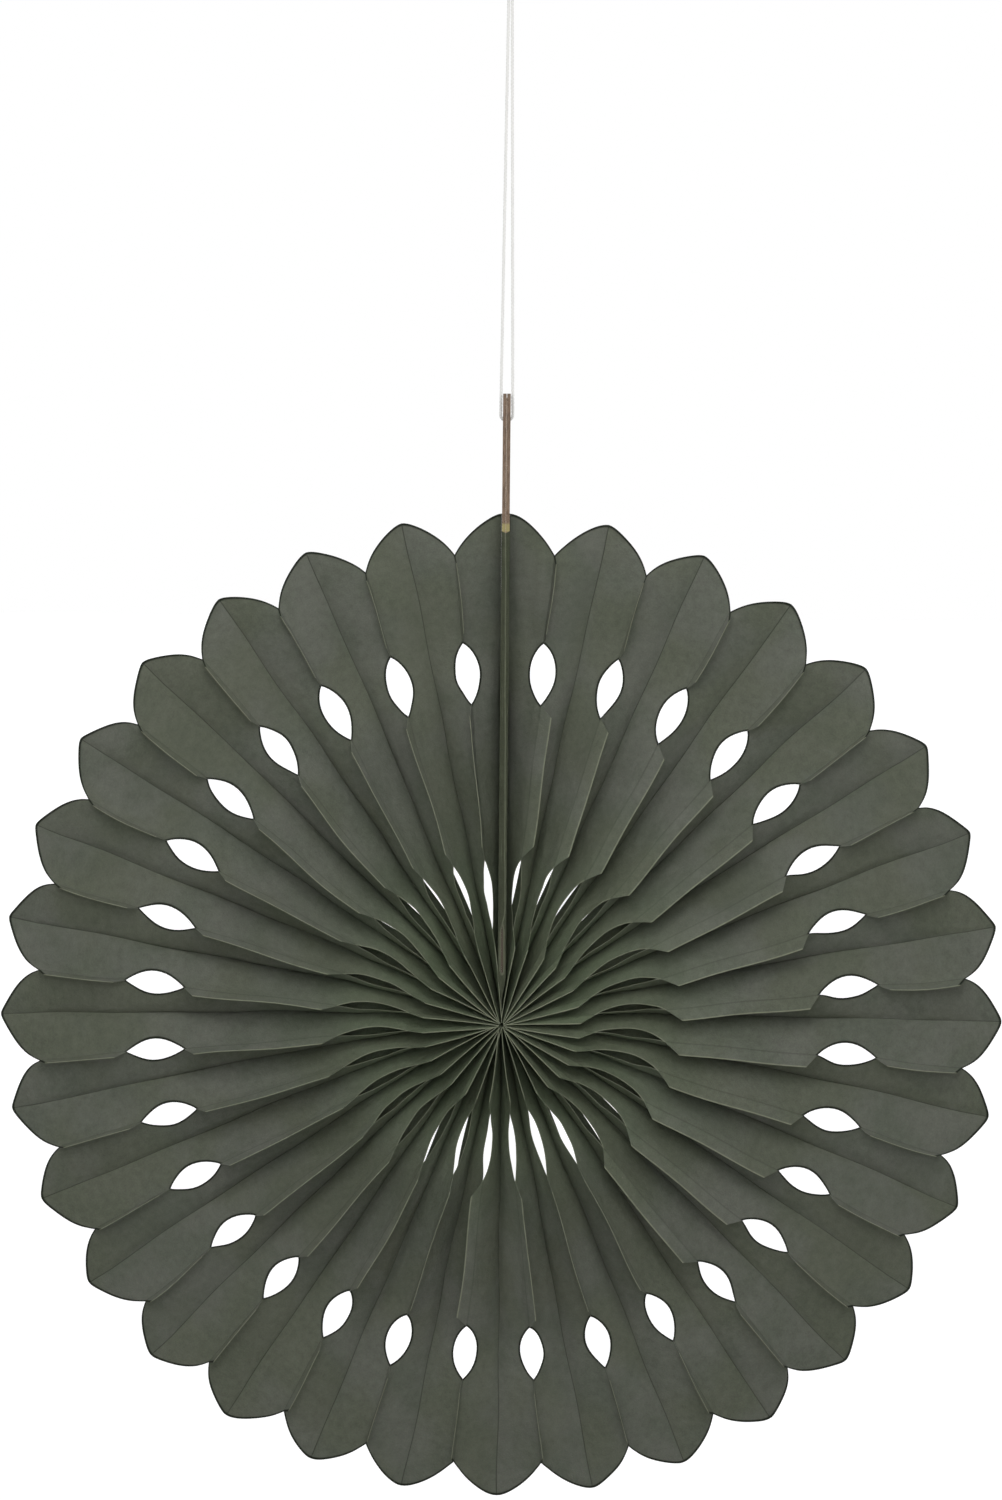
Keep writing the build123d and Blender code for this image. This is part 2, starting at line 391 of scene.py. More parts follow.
# %% [markdown]
# A leaf of the fan starts flat, as it does at the die-cutter's. Its width lies along X, with the
# front fold at zero, and its length along Y, measured from the hub. The glued strips reach past the
# folds on both sides. A flat grid with an edge along each fold is the sheet, Solidify gives it the
# thickness of paper, and Boolean modifiers cut it with dies, which leaves clean curved edges.

# %% The flat sheet
GRID_ALONG = 84
LEAF_GRID_ACROSS = 20
INNER_END = 0.9 * MM
OUTER_END = FAN_RADIUS + 2 * MM


def apply_modifier(piece, kind, **settings):
    """Adds a modifier to a piece with these settings, and applies it."""
    select_only(piece)
    modifier = piece.modifiers.new(kind.lower(), kind)
    for name, setting in settings.items():
        setattr(modifier, name, setting)
    bpy.ops.object.modifier_apply(modifier=modifier.name)


def flat_sheet(name, across, along, folds, columns):
    """A flat sheet of paper between two places across and two along, with an edge at each fold."""
    bpy.ops.mesh.primitive_grid_add(x_subdivisions=columns, y_subdivisions=GRID_ALONG, size=1)
    sheet = bpy.context.object
    sheet.name = name
    sheet.scale = (across[1] - across[0], along[1] - along[0], 1)
    sheet.location = (sum(across) / 2, sum(along) / 2, 0)
    bpy.ops.object.transform_apply(location=True, scale=True)
    bpy.ops.object.mode_set(mode="EDIT")
    for fold in folds:
        bpy.ops.mesh.select_all(action="SELECT")
        bpy.ops.mesh.bisect(plane_co=(fold, 0, 0), plane_no=(1, 0, 0))
    bpy.ops.object.mode_set(mode="OBJECT")
    apply_modifier(sheet, "SOLIDIFY", thickness=SHEET, offset=0)
    return sheet


leaf = flat_sheet(
    "leaf",
    across=(-GLUE_STRIP, LEAF_WIDTH + GLUE_STRIP),
    along=(INNER_END, OUTER_END),
    folds=(0, LEAF_WIDTH),
    columns=LEAF_GRID_ACROSS,
)
print("flat sheet", len(leaf.data.polygons), "faces")

# %% [markdown]
# Three dies shape a leaf. The lens and the slit are cut as halves, on the front fold, and open to
# their full shape when two leaves meet there. The third trims the outer end to half a petal, from
# the notch at the front fold to the tip at the back one. Their round edges are arcs and one curve
# with two pulls, so a few real sizes give each outline.

# %% The outlines of the dies
HOLE_RADIUS = 140.6 * MM
HOLE_LENGTH = 24 * MM
HOLE_DEPTH = 7 * MM
HOLE_FLARE = 4.5 * MM
SLIT_RADIUS = 52 * MM
SLIT_LENGTH = 28 * MM
SLIT_DEPTH = 6.2 * MM
SLIT_FLARE = 6.5 * MM
OPENING_STEPS = 14
DIE_MARGIN = 2 * MM
PETAL_START = (4.5, 5.6)
PETAL_END = (6.5, -0.2)
PETAL_STEPS = 16
STRIP_END_SLOPE = 0.62


def arc(start, through, end, steps):
    """Points on the circle through three points, from start to end."""
    a, b, c = (complex(*point) for point in (start, through, end))
    ratio = (c - a) / (b - a)
    centre = a + (b - a) * (ratio - abs(ratio) ** 2) / (2j * ratio.imag)
    first = math.atan2((a - centre).imag, (a - centre).real)
    spread = (c - centre) / (a - centre)
    middle = (b - centre) / (a - centre)
    sweep = math.atan2(spread.imag, spread.real)
    if sweep * math.atan2(middle.imag, middle.real) < 0:
        sweep -= math.copysign(2 * math.pi, sweep)
    radius = abs(a - centre)
    angles = [first + sweep * step / steps for step in range(steps + 1)]
    return [
        (centre.real + radius * math.cos(angle), centre.imag + radius * math.sin(angle))
        for angle in angles
    ]


def bezier(start, start_pull, end_pull, end, steps):
    """Points on the curve from start to end that the two pulls bend."""
    points = []
    for step in range(steps + 1):
        t = step / steps
        parts = ((1 - t) ** 3, 3 * t * (1 - t) ** 2, 3 * t**2 * (1 - t), t**3)
        knots = (start, start_pull, end_pull, end)
        points.append(tuple(sum(p * k[axis] for p, k in zip(parts, knots)) for axis in (0, 1)))
    return points


def half_opening(middle, length, depth, flare):
    """The outline of the die for one opening: an arc in the leaf, and slanted ends in the strip."""
    low, high = middle - length / 2, middle + length / 2
    past = -GLUE_STRIP - DIE_MARGIN
    slant = flare * (GLUE_STRIP + DIE_MARGIN) / GLUE_STRIP
    punched = arc((0, low), (depth, middle), (0, high), OPENING_STEPS)
    return punched + [(past, high + slant), (past, low - slant)]


def petal_edge():
    """The cut edge of half a petal, from the front strip over notch and tip to the back strip."""
    tip = FAN_RADIUS * math.cos(HALF_PLEAT)
    start_pull = (PETAL_START[0] * MM, NOTCH_RADIUS + PETAL_START[1] * MM)
    end_pull = (LEAF_WIDTH - PETAL_END[0] * MM, tip - PETAL_END[1] * MM)
    side = bezier((0, NOTCH_RADIUS), start_pull, end_pull, (LEAF_WIDTH, tip), PETAL_STEPS)
    strip = GLUE_STRIP + DIE_MARGIN
    slant = strip * STRIP_END_SLOPE
    return [(-strip, NOTCH_RADIUS - slant)] + side + [(LEAF_WIDTH + strip, tip - slant)]


def petal_outline():
    """The outline of the die that trims the outer end to half a petal."""
    edge = petal_edge()
    past = OUTER_END + DIE_MARGIN
    return edge + [(edge[-1][0], past), (edge[0][0], past)]


print("a lens is", round(HOLE_LENGTH / MM), "mm long and", round(2 * HOLE_DEPTH / MM), "mm wide")

# %% [markdown]
# A die is an outline filled as one face and extruded right through the sheet. Cutting with the
# exact solver leaves the punched edge as sharp as the outline, which moving the sheet's own points
# to it would not.


# %% Cutting the leaf
def die(name, outline):
    """A die of that outline, from below the sheet to above it."""
    mesh = bpy.data.meshes.new(name)
    corners = [(x, y, -DIE_MARGIN / 2) for x, y in outline]
    mesh.from_pydata(corners, [], [tuple(range(len(corners)))])
    cutter = add_object(name, mesh)
    select_only(cutter)
    bpy.ops.object.mode_set(mode="EDIT")
    bpy.ops.mesh.select_all(action="SELECT")
    bpy.ops.mesh.extrude_region_move(TRANSFORM_OT_translate={"value": (0, 0, DIE_MARGIN)})
    bpy.ops.mesh.select_all(action="SELECT")
    bpy.ops.mesh.normals_make_consistent(inside=False)
    bpy.ops.object.mode_set(mode="OBJECT")
    return cutter


def cut(sheet, name, outline):
    """Cuts the sheet with a die, and puts the die away."""
    cutter = die(name, outline)
    apply_modifier(sheet, "BOOLEAN", operation="DIFFERENCE", solver="EXACT", object=cutter)
    bpy.data.objects.remove(cutter)


cut(leaf, "lens_die", half_opening(HOLE_RADIUS, HOLE_LENGTH, HOLE_DEPTH, HOLE_FLARE))
cut(leaf, "slit_die", half_opening(SLIT_RADIUS, SLIT_LENGTH, SLIT_DEPTH, SLIT_FLARE))
cut(leaf, "petal_die", petal_outline())
print("leaf after the dies", len(leaf.data.polygons), "faces")

# %% [markdown]
# Opening the fan turns each leaf from standing on edge at the hub to lying almost flat at the rim.
# No single deform tool does that, so the vertices are moved by a rule: every fold line is a curve
# in its own plane through the hub, a leaf is stretched straight between two neighbouring fold
# lines, and the glued strips stand out in front of the front folds and behind the back ones. The
# width of the paper stays as it was cut, which fixes how deep the pleats are at each radius.


# %% Where the fold lines run
LEAST_DEPTH = 3 * MM
SWAY, SWAY_WAVES = 0.6 * MM, (47 * MM, 110 * MM)
UNEVEN, UNEVEN_WAVES, UNEVEN_SEED = 0.8 * MM, (61 * MM, 150 * MM), 100
FREE_FROM = 60 * MM
LENS_DIP = 4.5 * MM
DIP_RADIUS = 151 * MM
DIP_REACH = 16 * MM


def fold_angle(number):
    """How far round the fan a fold line is, clockwise from the top. Odd numbers are front folds."""
    return CARD_WEDGE / 2 + HALF_PLEAT * number


def pleat_depth(along):
    """How far apart the front and back fold lines are, from front to back, at each radius."""
    opened = np.maximum(LEAF_WIDTH**2 - (along * math.tan(HALF_PLEAT)) ** 2, LEAST_DEPTH**2)
    return np.sqrt(opened)


def ripple(seed, along, wavelengths, size):
    """A gentle random wave along the leaf, the same for the same seed."""
    random = np.random.default_rng(seed)
    total = np.zeros_like(along)
    for wavelength in wavelengths:
        phase, share = random.uniform(0, 2 * math.pi), random.uniform(0.4, 1)
        total += share * np.sin(2 * math.pi * along / wavelength + phase)
    return size * total / len(wavelengths)


def fold_line(number, along):
    """The points of a fold line at these distances from the hub, in the fan's own frame."""
    front = number % 2 == 1
    angle = fold_angle(number)
    radius = along if front else along / math.cos(HALF_PLEAT)
    held_by_card = number in (0, 2 * PLEATS)
    swell = 0 if held_by_card else np.clip(along / FREE_FROM, 0, 1)
    sway = ripple(number, along, SWAY_WAVES, SWAY) * swell
    deep = ripple(number + UNEVEN_SEED, along, UNEVEN_WAVES, UNEVEN) * swell
    height = pleat_depth(along) / 2 * (-1 if front else 1) + deep
    if front:
        height += LENS_DIP * np.exp(-(((along - DIP_RADIUS) / DIP_REACH) ** 2))
    x = radius * math.sin(angle) + sway * math.cos(angle)
    z = radius * math.cos(angle) - sway * math.sin(angle)
    return np.stack([x, height, z], 1)


print("pleats", round(float(pleat_depth(NOTCH_RADIUS)) / MM, 1), "mm deep at the notches")

# %% [markdown]
# The strips don't all stand straight. On the right half of the fan the front ones have been pressed
# over clockwise, most of all between the two rings of openings, while on the left they stand up and
# sag a little. Those at the back rise at the sides of the fan. Near the hub there is no room to
# lean, because the next leaf is too close. Each lean was set to how the photograph shows the
# strip, because a simulation would lean them all alike.

# %% How the glued strips lean
RIGHT_LEAN = math.radians(72)
LEFT_LEAN = math.radians(-12)
LAST_LEANING = 12
FIRST_SAGGING = 18
# The front strips that go their own way, by their number among the front ones, from 0.
STRAY_LEANS = {15: math.radians(-25), 16: math.radians(55)}
# How far the back strips lean, in degrees, at each of these angles round the fan.
BACK_LEANS = {
    0: 0, 12: -74, 23: -50, 34: -44, 45: -50, 57: -74, 124: -70, 135: -52, 146: -50, 157: -30,
    180: 14, 191: 50, 203: 56, 225: 75, 292: 75, 303: 52, 315: 50, 326: 40, 337: 42, 348: 16, 360: 0,
}
# The back strips that go their own way, by the number of their fold line.
STRAY_BACK_LEANS = {4: -45, 6: -40, 8: -42, 12: -36, 24: -46, 26: -46, 54: 42}
# What share of its lean a strip has at each of these distances from the hub, in millimetres.
FRONT_SHARES = {3: 0.03, 20: 0.12, 36: 0.26, 74: 0.95, 128: 1, 157: 0.07}
BACK_SHARES = {3: 0.1, 20: 0.6, 36: 1, 150: 0.9, 190: 0.5}
LEAN_SPREAD = 0.1
LEAN_SEED, LEAN_WAVE_SEED, LEAN_WAVES = 300, 400, (70 * MM,)
BACK_WAVE_SEED, BACK_WAVES = 500, (80 * MM,)


def from_table(value, table):
    """The value's place in a table, read off a straight line between the two nearest entries."""
    return np.interp(value, list(table), list(table.values()))


def strip_lean(number, along):
    """The angle by which a front strip leans clockwise at each radius."""
    ridge = number // 2
    if ridge in STRAY_LEANS:
        most = STRAY_LEANS[ridge]
    elif ridge <= LAST_LEANING:
        most = RIGHT_LEAN
    else:
        most = LEFT_LEAN if ridge >= FIRST_SAGGING else 0
    random = np.random.default_rng(number + LEAN_SEED)
    lean = most * from_table(along / MM, FRONT_SHARES) + random.uniform(-LEAN_SPREAD, LEAN_SPREAD)
    return lean + ripple(number + LEAN_WAVE_SEED, along, LEAN_WAVES, LEAN_SPREAD)


def round_the_fan(angle):
    """The direction of clockwise travel at an angle round the fan."""
    return np.array([math.cos(angle), 0, -math.sin(angle)])


def strip_way(number, along):
    """The direction in which the glued strip stands away from its fold line, at each radius."""
    travel = round_the_fan(fold_angle(number))
    if number % 2 == 1:
        lean = strip_lean(number, along)
        outward = np.array([0, -1, 0])
    else:
        usual = from_table(math.degrees(fold_angle(number)), BACK_LEANS)
        most = math.radians(STRAY_BACK_LEANS.get(number, usual))
        lean = most * from_table(along / MM, BACK_SHARES)
        lean = lean + ripple(number + BACK_WAVE_SEED, along, BACK_WAVES, LEAN_SPREAD)
        outward = np.array([0, 1, 0])
    return np.cos(lean)[:, None] * outward + np.sin(lean)[:, None] * travel


print(len(STRAY_LEANS), "front strips and", len(STRAY_BACK_LEANS), "back ones lean their own way")

# %% [markdown]
# Glue is stiffer than paper. So a leaf leaves each fold in the direction of its strip and curls
# over to the next fold, and a strip that leans far draws its fold line in. Beside the end cards a
# leaf can't pass through the board. Handling leaves a slight bow in each leaf and a few crumples,
# which are random waves that die out at the folds.

# %% How a leaf hangs between its folds
card_low, card_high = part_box("end_card_right")
CARD_START = card_low.z - HUB_HEIGHT
CARD_SIDE = 1.67 * MM
SOFT_LEAN = math.radians(40)
HUB_CURL = 0.5
RIM_CURL = 0.1
SIDE_CURL = 0.25
CURL_SPREAD, CURL_SEED = 0.1, 900
FULL_BOW_FROM = 90 * MM
CRUMPLES, CRUMPLE_SEED = 5, 700
CRUMPLE_DEPTH = 0.1 * MM
# The least and the most bow of a leaf and length of a crumple, in millimetres.
BOWS = (-0.5, 0.9)
CRUMPLE_LENGTHS = (9, 26)


def beside_card(along):
    """Nothing near the hub, and one from where the end cards begin."""
    run = np.clip((along - CARD_START / 2) / (CARD_START / 2), 0, 1)
    return run * run * (3 - 2 * run)


def leaf_curl(number, along):
    """How strongly a leaf keeps to the glued strips' direction near its two folds."""
    at_side = abs(math.sin(fold_angle(number)))
    out = np.clip(along / FAN_RADIUS, 0, 1)
    random = np.random.default_rng(number // 2 + CURL_SEED)
    curl = HUB_CURL * (1 - out) + (RIM_CURL + SIDE_CURL * at_side) * out
    return curl + random.uniform(-CURL_SPREAD, CURL_SPREAD)


def drawn_in_ridge(number, along):
    """How far a leaning strip draws its fold line in, which makes a soft bend of the crease."""
    lean = strip_lean(number, along)[:, None]
    ridge = fold_line(number, along)
    outer = np.where(lean > 0, fold_line(number - 1, along), fold_line(number + 1, along))
    way = outer - ridge
    way /= np.linalg.norm(way, axis=1)[:, None]
    softness = np.clip(np.abs(lean) / SOFT_LEAN, 0, 1)
    return (strip_way(number, along) + way) * softness * GLUE_STRIP / 4


def on_leaf(number, across, along):
    """Places in the fan of points on leaf number, given across it from its front fold and along."""
    front = number if number % 2 == 1 else number + 1
    back = number if number % 2 == 0 else number + 1
    share = np.clip(across / LEAF_WIDTH, 0, 1)[:, None]
    start, end = fold_line(front, along), fold_line(back, along)
    sideways = (end - start) * (1, 0, 1)
    curl = leaf_curl(number, along)[:, None] * np.sin(2 * math.pi * share) / (2 * math.pi)
    place = start * (1 - share) + end * share - sideways * curl
    near_ridge = np.clip(1 - np.abs(across) / GLUE_STRIP, 0, 1)[:, None] ** 2
    place += drawn_in_ridge(front, along) * near_ridge
    before = np.clip(-across, 0, None)[:, None]
    behind = np.clip(across - LEAF_WIDTH, 0, None)[:, None]
    place += before * strip_way(front, along) + behind * strip_way(back, along)
    if number in (0, 2 * PLEATS - 1):
        side = 1 if number == 0 else -1
        place[:, 0] = np.maximum(place[:, 0] * side, CARD_SIDE * beside_card(along)) * side
    return place


def crumple(number, across, along):
    """How far each point of a leaf's sheet is pushed out of its smooth surface."""
    random = np.random.default_rng(number + CRUMPLE_SEED)
    share = np.clip(across / LEAF_WIDTH, 0, 1)
    inside = np.sin(math.pi * share)
    bow = random.uniform(*BOWS) * MM * np.clip(along / FULL_BOW_FROM, 0, 1)
    total = bow * inside
    for _ in range(CRUMPLES):
        way = random.uniform(0, math.pi)
        length = random.uniform(*CRUMPLE_LENGTHS) * MM
        phase = random.uniform(0, 2 * math.pi)
        run = across * math.cos(way) + along * math.sin(way)
        wave = np.sin(2 * math.pi * run / length + phase)
        total += CRUMPLE_DEPTH * wave * inside
    return total


middle_of_leaf = on_leaf(1, np.array([LEAF_WIDTH / 2]), np.array([NOTCH_RADIUS]))[0]
print("the second leaf's middle at the notches:", (middle_of_leaf / MM).round(1))

# %% [markdown]
# The same rule bends every flat sheet. The surface tells where each point of the paper goes, and two
# short steps on it, one across and one along, give the direction that the paper faces there. Each
# point is then moved off the surface by its place in the paper's thickness.


# %% Bending a sheet
CREASE_STEP = 0.3 * MM
CREASE_ANGLE = math.radians(24)


def sheet_places(mesh):
    """Where each vertex of a flat sheet is: across it, along it and through its thickness."""
    places = np.zeros(len(mesh.vertices) * 3)
    mesh.vertices.foreach_get("co", places)
    return places.reshape(-1, 3).T


def bend_sheet(mesh, surface, offset, turned):
    """Moves a flat sheet's vertices onto a surface, each by its own offset off that surface."""
    across, along, _ = sheet_places(mesh)
    step = CREASE_STEP
    step_across = surface(across + step, along) - surface(across - step, along)
    step_along = surface(across, along + step) - surface(across, along - step)
    outward = np.cross(step_across, step_along) * turned
    outward /= np.linalg.norm(outward, axis=1)[:, None]
    bent = surface(across, along) + outward * offset[:, None]
    bent[:, 2] += HUB_HEIGHT
    mesh.vertices.foreach_set("co", bent.ravel())
    mesh.update()
    if turned < 0:
        mesh.flip_normals()


def shade_softly(piece):
    """Shades a piece smoothly, with every fold sharper than an angle left as a crease."""
    select_only(piece)
    bpy.ops.object.shade_smooth_by_angle(angle=CREASE_ANGLE)


def keep_vectors(mesh, name, columns):
    """Keeps three numbers for each vertex on the mesh, for its finish to read."""
    store = mesh.attributes.new(name, "FLOAT_VECTOR", "POINT")
    store.data.foreach_set("vector", np.stack(columns, 1).ravel())


print("folds sharper than", round(math.degrees(CREASE_ANGLE)), "degrees stay creased")

# %% [markdown]
# Each leaf is its own copy of the flat one. It keeps where on the flat sheet each of its points was
# and how far that is from the cut edges, because the finish draws its lines from them. Its two
# glued strips lie against the neighbours' strips, so the paper's thickness goes to one side there,
# and it thins toward the hub, where the ends are pressed together.

# %% Opening the leaves
FULL_THICKNESS_FROM = 2.4 * MM
PRESSED_SHARE = 0.3


def open_leaf(number, flat):
    """A copy of the flat leaf, opened into its place in the fan."""
    mesh = flat.data.copy()
    leaf = add_object(f"leaf_{number + 1:02d}", mesh)
    across, along, through = sheet_places(mesh)
    edge_across, edge_along = np.array(petal_edge()).T
    to_petal_edge = np.interp(across, edge_across, edge_along) - along
    keep_vectors(mesh, "flat", [across / MM, along / MM, np.full_like(across, number)])
    keep_vectors(mesh, "edges", [(across + GLUE_STRIP) / MM, to_petal_edge / MM, 0 * across])
    share = np.clip(across / LEAF_WIDTH, 0, 1)
    thin = np.clip(along / FULL_THICKNESS_FROM, PRESSED_SHARE, 1)
    offset = (through + SHEET / 2 * (1 - 2 * share)) * thin + crumple(number, across, along)
    turned = 1 if number % 2 == 1 else -1
    bend_sheet(mesh, lambda a, b: on_leaf(number, a, b), offset, turned)
    shade_softly(leaf)
    return leaf


leaves = [open_leaf(number, leaf) for number in range(2 * PLEATS)]
bpy.data.objects.remove(leaf)
print(len(leaves), "leaves of", len(leaves[0].data.polygons), "faces")

# %% [markdown]
# Two more leaves are glued over the end cards' outer faces and folded over the cards' front edges,
# the left one on top of the right one, and their free edges wander. Only near the hub are they too
# narrow to meet, and a streak of card shows between them. Under the cards' lower ends the two leaves
# close on each other. They start flat too, with the card's corner as their fold, and two dies trim
# them: one gives the roof over the top, the other the free edge.

# %% The leaves on the end cards
COVER_GRID_ACROSS = 16
COVER_MARGIN = 1 * MM
LAYER_GAP = 0.01 * MM
SHOULDER = FAN_RADIUS - 6.5 * MM
ROOF_PULLS = ((4.5, 2.6), (10.5, 6.4))
ROOF_STEPS = 10
ROOF_SLANT = 3 * MM
LIP_START = 1.5 * MM
LIP_STEP = 0.2 * MM
LIP_STEPS = 70
LIP_LAP = 0.15 * MM
LIP_RIPPLE, LIP_WAVES, LIP_SEED = 0.22 * MM, (13 * MM, 31 * MM, 60 * MM), 950
STREAK_END = 38 * MM
COVER_START = 45 * MM
OVERLAPS = {-1: (-0.5, 1.25, 0.2), 1: (-0.5, 0.6, 0.6)}
LIFT = 0.22 * MM
LIFT_WAVE = 9 * MM
# How many millimetres off an edge is that the finish has no line for.
FAR = 9
# The finish tells a cover from a leaf by its number, which is past those of the leaves.
COVER_NUMBER = 70


def card_cover(side):
    """The leaf over one card: -1 is the left one, whose free edge lies on top."""
    face = card_high.x + SHEET / 2 + LAYER_GAP
    layer = SHEET / 2 + LAYER_GAP + (SHEET + LAYER_GAP if side < 0 else 0)
    front = card_low.y - layer
    corner = DEEPEST - front
    at_hub, at_start, at_top = (face + overlap * MM for overlap in OVERLAPS[side])

    def to_middle(along):
        """How far the cover is from the fan's middle plane."""
        return LAYER_GAP + SHEET / 2 + (face - SHEET / 2) * beside_card(along)

    def free_edge(along):
        """How far the lip reaches past the corner at this distance from the hub."""
        stations = [CARD_START, STREAK_END, COVER_START, SHOULDER]
        width = np.interp(along, stations, [at_hub, at_hub, at_start, at_top])
        width += ripple(LIP_SEED + side, along, LIP_WAVES, LIP_RIPPLE)
        closed = to_middle(along) + (LIP_LAP if side < 0 else -LAYER_GAP - SHEET / 4)
        return np.where(along > CARD_START + LIP_START, width, np.clip(closed, 0, None))

    def surface(across, along):
        """Where the points of the cover go: down the card's face, and round its front corner."""
        past = np.clip(across - corner, 0, None)
        x = to_middle(along) - past
        lift = LIFT * (past / (2 * face)) ** 2 * (1 + np.sin(along / LIFT_WAVE))
        y = DEEPEST - np.minimum(across, corner) - lift
        return np.stack([side * x, y, along], 1)

    width = corner + max(at_start, at_top) + COVER_MARGIN
    beyond = width + DIE_MARGIN
    sheet = flat_sheet("cover", (0, width), (INNER_END, OUTER_END), (corner,), COVER_GRID_ACROSS)
    half_roof = [(x * MM, SHOULDER + y * MM) for x, y in ROOF_PULLS]
    mirrored_roof = [(2 * DEEPEST - x, y) for x, y in reversed(half_roof)]
    tip = (DEEPEST, FAN_RADIUS)
    rise = bezier((0, SHOULDER), *half_roof, tip, ROOF_STEPS)
    fall = bezier(tip, *mirrored_roof, (2 * DEEPEST, SHOULDER), ROOF_STEPS)[1:]
    past = OUTER_END + DIE_MARGIN
    roof = [(-DIE_MARGIN, SHOULDER - DIE_MARGIN)] + rise + fall + [(beyond, SHOULDER - ROOF_SLANT)]
    cut(sheet, "roof_die", roof + [(beyond, past), (-DIE_MARGIN, past)])
    steps = np.linspace(CARD_START / 2, OUTER_END, LIP_STEPS)
    lip_along = np.union1d(steps, (CARD_START + LIP_START, CARD_START + LIP_START + LIP_STEP))
    lip = list(zip(corner + free_edge(lip_along), lip_along))
    lip_side = [(corner, -DIE_MARGIN)] + lip
    cut(sheet, "lip_die", lip_side + [(beyond, OUTER_END), (beyond, -DIE_MARGIN)])
    across, along, through = sheet_places(sheet.data)
    to_free_edge = corner + np.where(along > CARD_START, free_edge(along), FAR * MM) - across
    numbers = np.full_like(across, COVER_NUMBER + side)
    keep_vectors(sheet.data, "flat", [across / MM, along / MM, numbers])
    keep_vectors(sheet.data, "edges", [to_free_edge / MM, 0 * along + FAR, 0 * across])
    bend_sheet(sheet.data, surface, through * -side, -side)
    shade_softly(sheet)
    return sheet


left_cover, right_cover = card_cover(-1), card_cover(1)
left_cover.name, right_cover.name = "leaf_on_left_card", "leaf_on_right_card"
print("leaf on the left card", len(left_cover.data.polygons), "faces")

# %% [markdown]
# The tissue is dyed dark green-grey, and cloudy. Two attributes tell its finish where on the flat
# sheet a point is, in millimetres, so the lines lie on the paper wherever it goes: a dark one along
# the punched edges, where the dye is pressed in, a painted highlight along the strips' free edges
# and the slits, and painted shade in the creases of the folds. Towards the hub the colour is mixed
# to a greener tone, painted shade for the deep pleats there.
# Noise reads the flat places too, so a stretched or folded leaf still has clouds of even size.

# %% The tissue's finish
LIGHT_DYE = (0.128, 0.134, 0.112, 1)
MAIN_DYE = (0.108, 0.118, 0.094, 1)
# Painted shade colour, mixed in towards the hub.
HUB_SHADE_TINT = (0.108, 0.138, 0.080, 1)
OLIVE_DYE = (0.102, 0.112, 0.076, 1)
CARD_DYE = (0.055, 0.062, 0.039, 1)
# Dark for the punched edges, and painted shade in the creases of the folds.
EDGE_DYE_AND_FOLD_SHADE = (0.016, 0.020, 0.013, 1)
# Painted highlight colour for the slits' edges and the strips' free edges.
EDGE_HIGHLIGHT = (0.24, 0.255, 0.18, 1)
LAST_LEAF = 2 * PLEATS - 1
# How far apart in the noise the leaves are, so that no two have the same clouds.
LEAF_SEED = 43
# How many clouds each noise has to a millimetre.
BROAD_SCALE, CLOUD_SCALE, CRINKLE_SCALE, MOTTLE_SCALE, GRAIN_SCALE = 0.02, 0.045, 0.16, 0.35, 1.7


def arc_distance(across, along, middle, length, depth):
    """How far outside the arc of a punched opening a point is, in millimetres."""
    middle, length, depth = middle / MM, length / MM, depth / MM
    radius = (depth**2 + length**2 / 4) / (2 * depth)
    sideways = across - (depth - radius)
    lengthways = along - middle
    return across.math("SQRT", sideways * sideways + lengthways * lengthways) - radius


